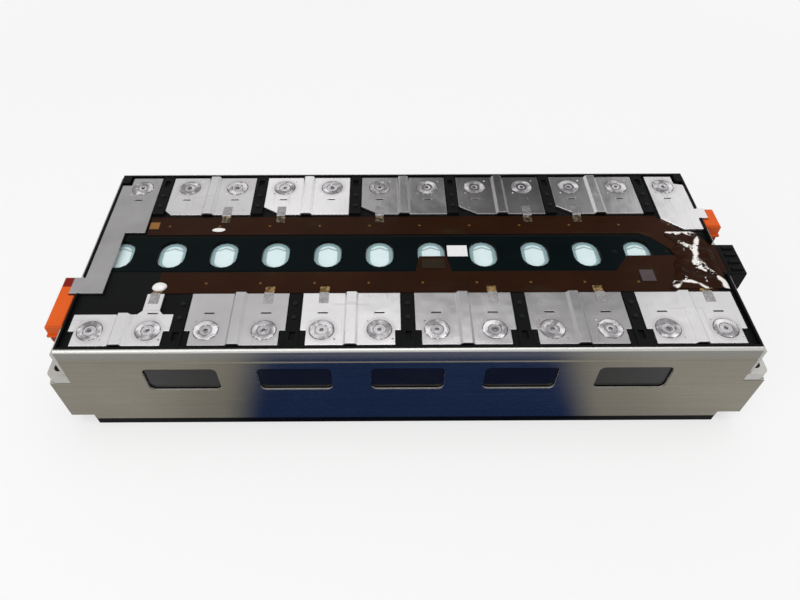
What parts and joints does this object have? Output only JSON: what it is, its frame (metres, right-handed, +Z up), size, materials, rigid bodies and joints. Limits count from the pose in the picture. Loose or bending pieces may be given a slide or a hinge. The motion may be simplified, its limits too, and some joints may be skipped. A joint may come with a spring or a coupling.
{
  "type": "ev battery module",
  "caption": "Electric-car battery module with its cover off: prismatic cells, welded busbars, flexible circuit, aluminium side and end plates, orange terminal covers.",
  "frame": {"origin": "centre of the underside", "axes": "+X along the row of cells towards the signal socket, -Y towards the front side plate, +Z up out of the busbar side"},
  "size_m": [0.5898, 0.225, 0.1052],
  "materials": {
    "busbar": "punched sheet with laser welds",
    "carrier": "moulded, fine grain",
    "cell_can": "dull drawn can",
    "channel_sheet": "smooth dark sheet",
    "end_plate": "extruded and milled",
    "flex_circuit": "brown polyimide over black",
    "insulation": "dark film",
    "label": "blank white",
    "nut": "zinc plated",
    "pin": "plated",
    "rivet": "heat-formed heads",
    "sampling_tab": "nickel strip",
    "sensor": "potted",
    "side_plate": "rolled sheet, light brushing",
    "socket": "moulded",
    "spacer": "soft foam sheet",
    "terminal_base": "moulded, dark orange",
    "terminal_cover": "moulded, orange",
    "tray": "moulded",
    "vent_film": "pale translucent film"
  },
  "bodies": {
    "root": {"blank_label": "label", "bottom_tray": "tray", "busbar_carrier": "carrier", "carrier_rivets": "rivet", "cell_01": "cell_can", "cell_02": "cell_can", "cell_03": "cell_can", "cell_04": "cell_can", "cell_05": "cell_can", "cell_06": "cell_can", "cell_07": "cell_can", "cell_08": "cell_can", "cell_09": "cell_can", "cell_10": "cell_can", "cell_11": "cell_can", "cell_12": "cell_can", "cell_spacers": "spacer", "channel_sheet": "channel_sheet", "end_insulator_left": "insulation", "end_insulator_right": "insulation", "end_plate_left": "end_plate", "end_plate_right": "end_plate", "flex_circuit": "flex_circuit", "front_busbar_1": "busbar", "front_busbar_2": "busbar", "front_busbar_3": "busbar", "front_busbar_4": "busbar", "front_busbar_5": "busbar", "front_busbar_6": "busbar", "nut_holder_left": "terminal_base", "nut_holder_right": "terminal_base", "output_lead_left": "busbar", "output_lead_right": "busbar", "rear_busbar_1": "busbar", "rear_busbar_2": "busbar", "rear_busbar_3": "busbar", "rear_busbar_4": "busbar", "rear_busbar_5": "busbar", "sampling_tabs": "sampling_tab", "sensor_pads": "sensor", "side_insulation_front": "insulation", "side_insulation_rear": "insulation", "side_plate_front": "side_plate", "side_plate_rear": "side_plate", "socket_housing": "socket", "socket_pins": "pin", "terminal_base_left": "terminal_base", "terminal_base_right": "terminal_base", "terminal_cover_left": "terminal_cover", "terminal_cover_right": "terminal_cover", "terminal_nut_left": "nut", "terminal_nut_right": "nut", "vent_films": "vent_film"}
  },
  "joints": []
}
